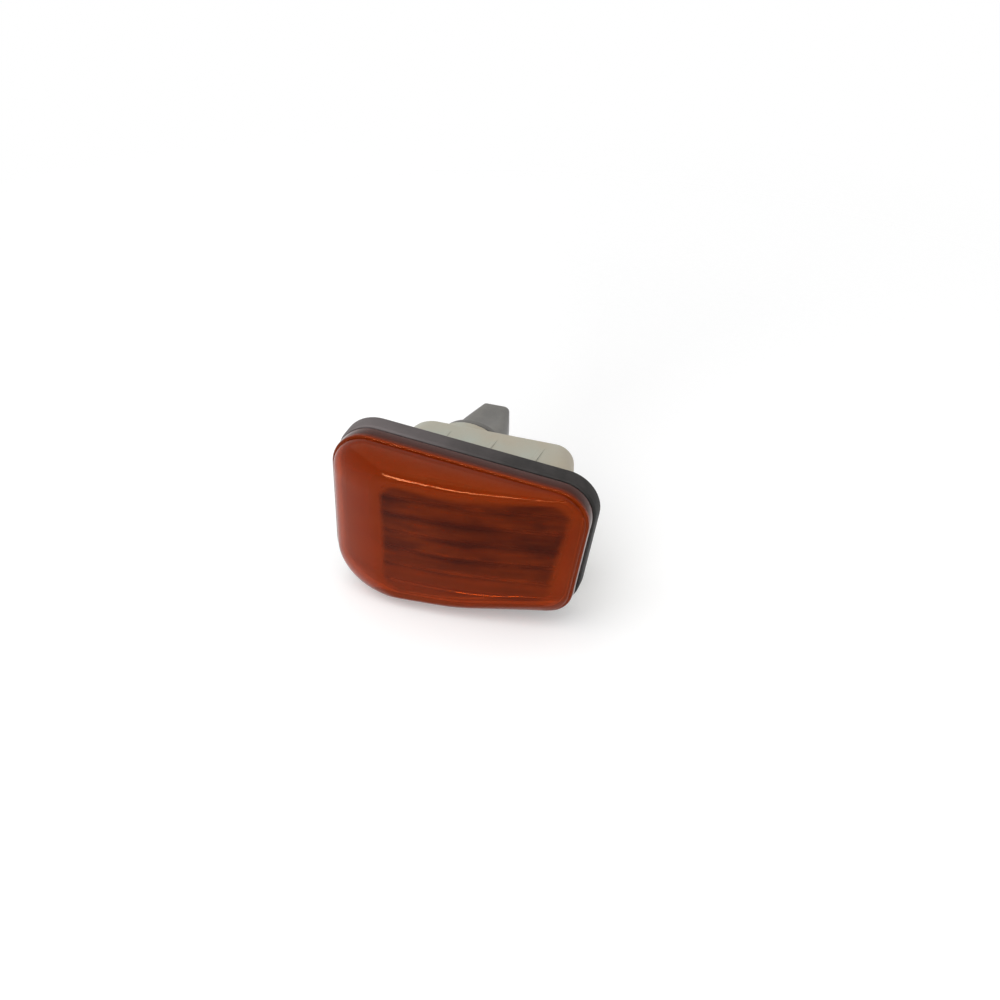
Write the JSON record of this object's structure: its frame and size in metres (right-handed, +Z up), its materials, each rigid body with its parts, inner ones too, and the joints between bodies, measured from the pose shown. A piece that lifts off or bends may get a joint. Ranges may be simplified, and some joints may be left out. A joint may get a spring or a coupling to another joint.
{
  "type": "fender turn signal lamp",
  "caption": "Side turn signal lamp for a vehicle fender: amber fluted lens on a moulded housing with a rubber gasket, a fixing hook and spring clip, and a twist-in bulb holder.",
  "frame": {"origin": "middle of the fender's cut-out, in the plane of the fender's outer skin, where the gasket's rear face lies", "axes": "+Y into the fender, away from the viewer of the lens; +X towards the lens's shallow end; +Z up"},
  "size_m": [0.0696, 0.0623, 0.047],
  "materials": {
    "amber_lens": "clear amber, polished",
    "pale_plastic": "moulded, satin",
    "black_rubber": "soft, dull",
    "zinc_steel": "zinc plated",
    "grey_plastic": "moulded, satin",
    "seal_rubber": "soft, dull",
    "brass_strip": "stamped",
    "clear_glass": "clear, smooth",
    "tungsten": "drawn wire",
    "lead_wire": "drawn wire"
  },
  "bodies": {
    "lamp": {"lens": "amber_lens", "housing": "pale_plastic", "gasket": "black_rubber", "spring_clip": "zinc_steel"},
    "bulb_holder": {"holder_body": "grey_plastic", "holder_seal": "seal_rubber", "terminal_upper": "brass_strip", "terminal_lower": "brass_strip", "bulb_glass": "clear_glass", "bulb_filament": "tungsten", "bulb_lead_upper": "lead_wire", "bulb_lead_lower": "lead_wire"}
  },
  "joints": [
    {"name": "holder_turn", "type": "hinge", "parent": "lamp", "child": "bulb_holder", "pos_m": [-0.0101, 0, 0], "axis": [0, 1, 0], "range_deg": [0, 40]}
  ]
}
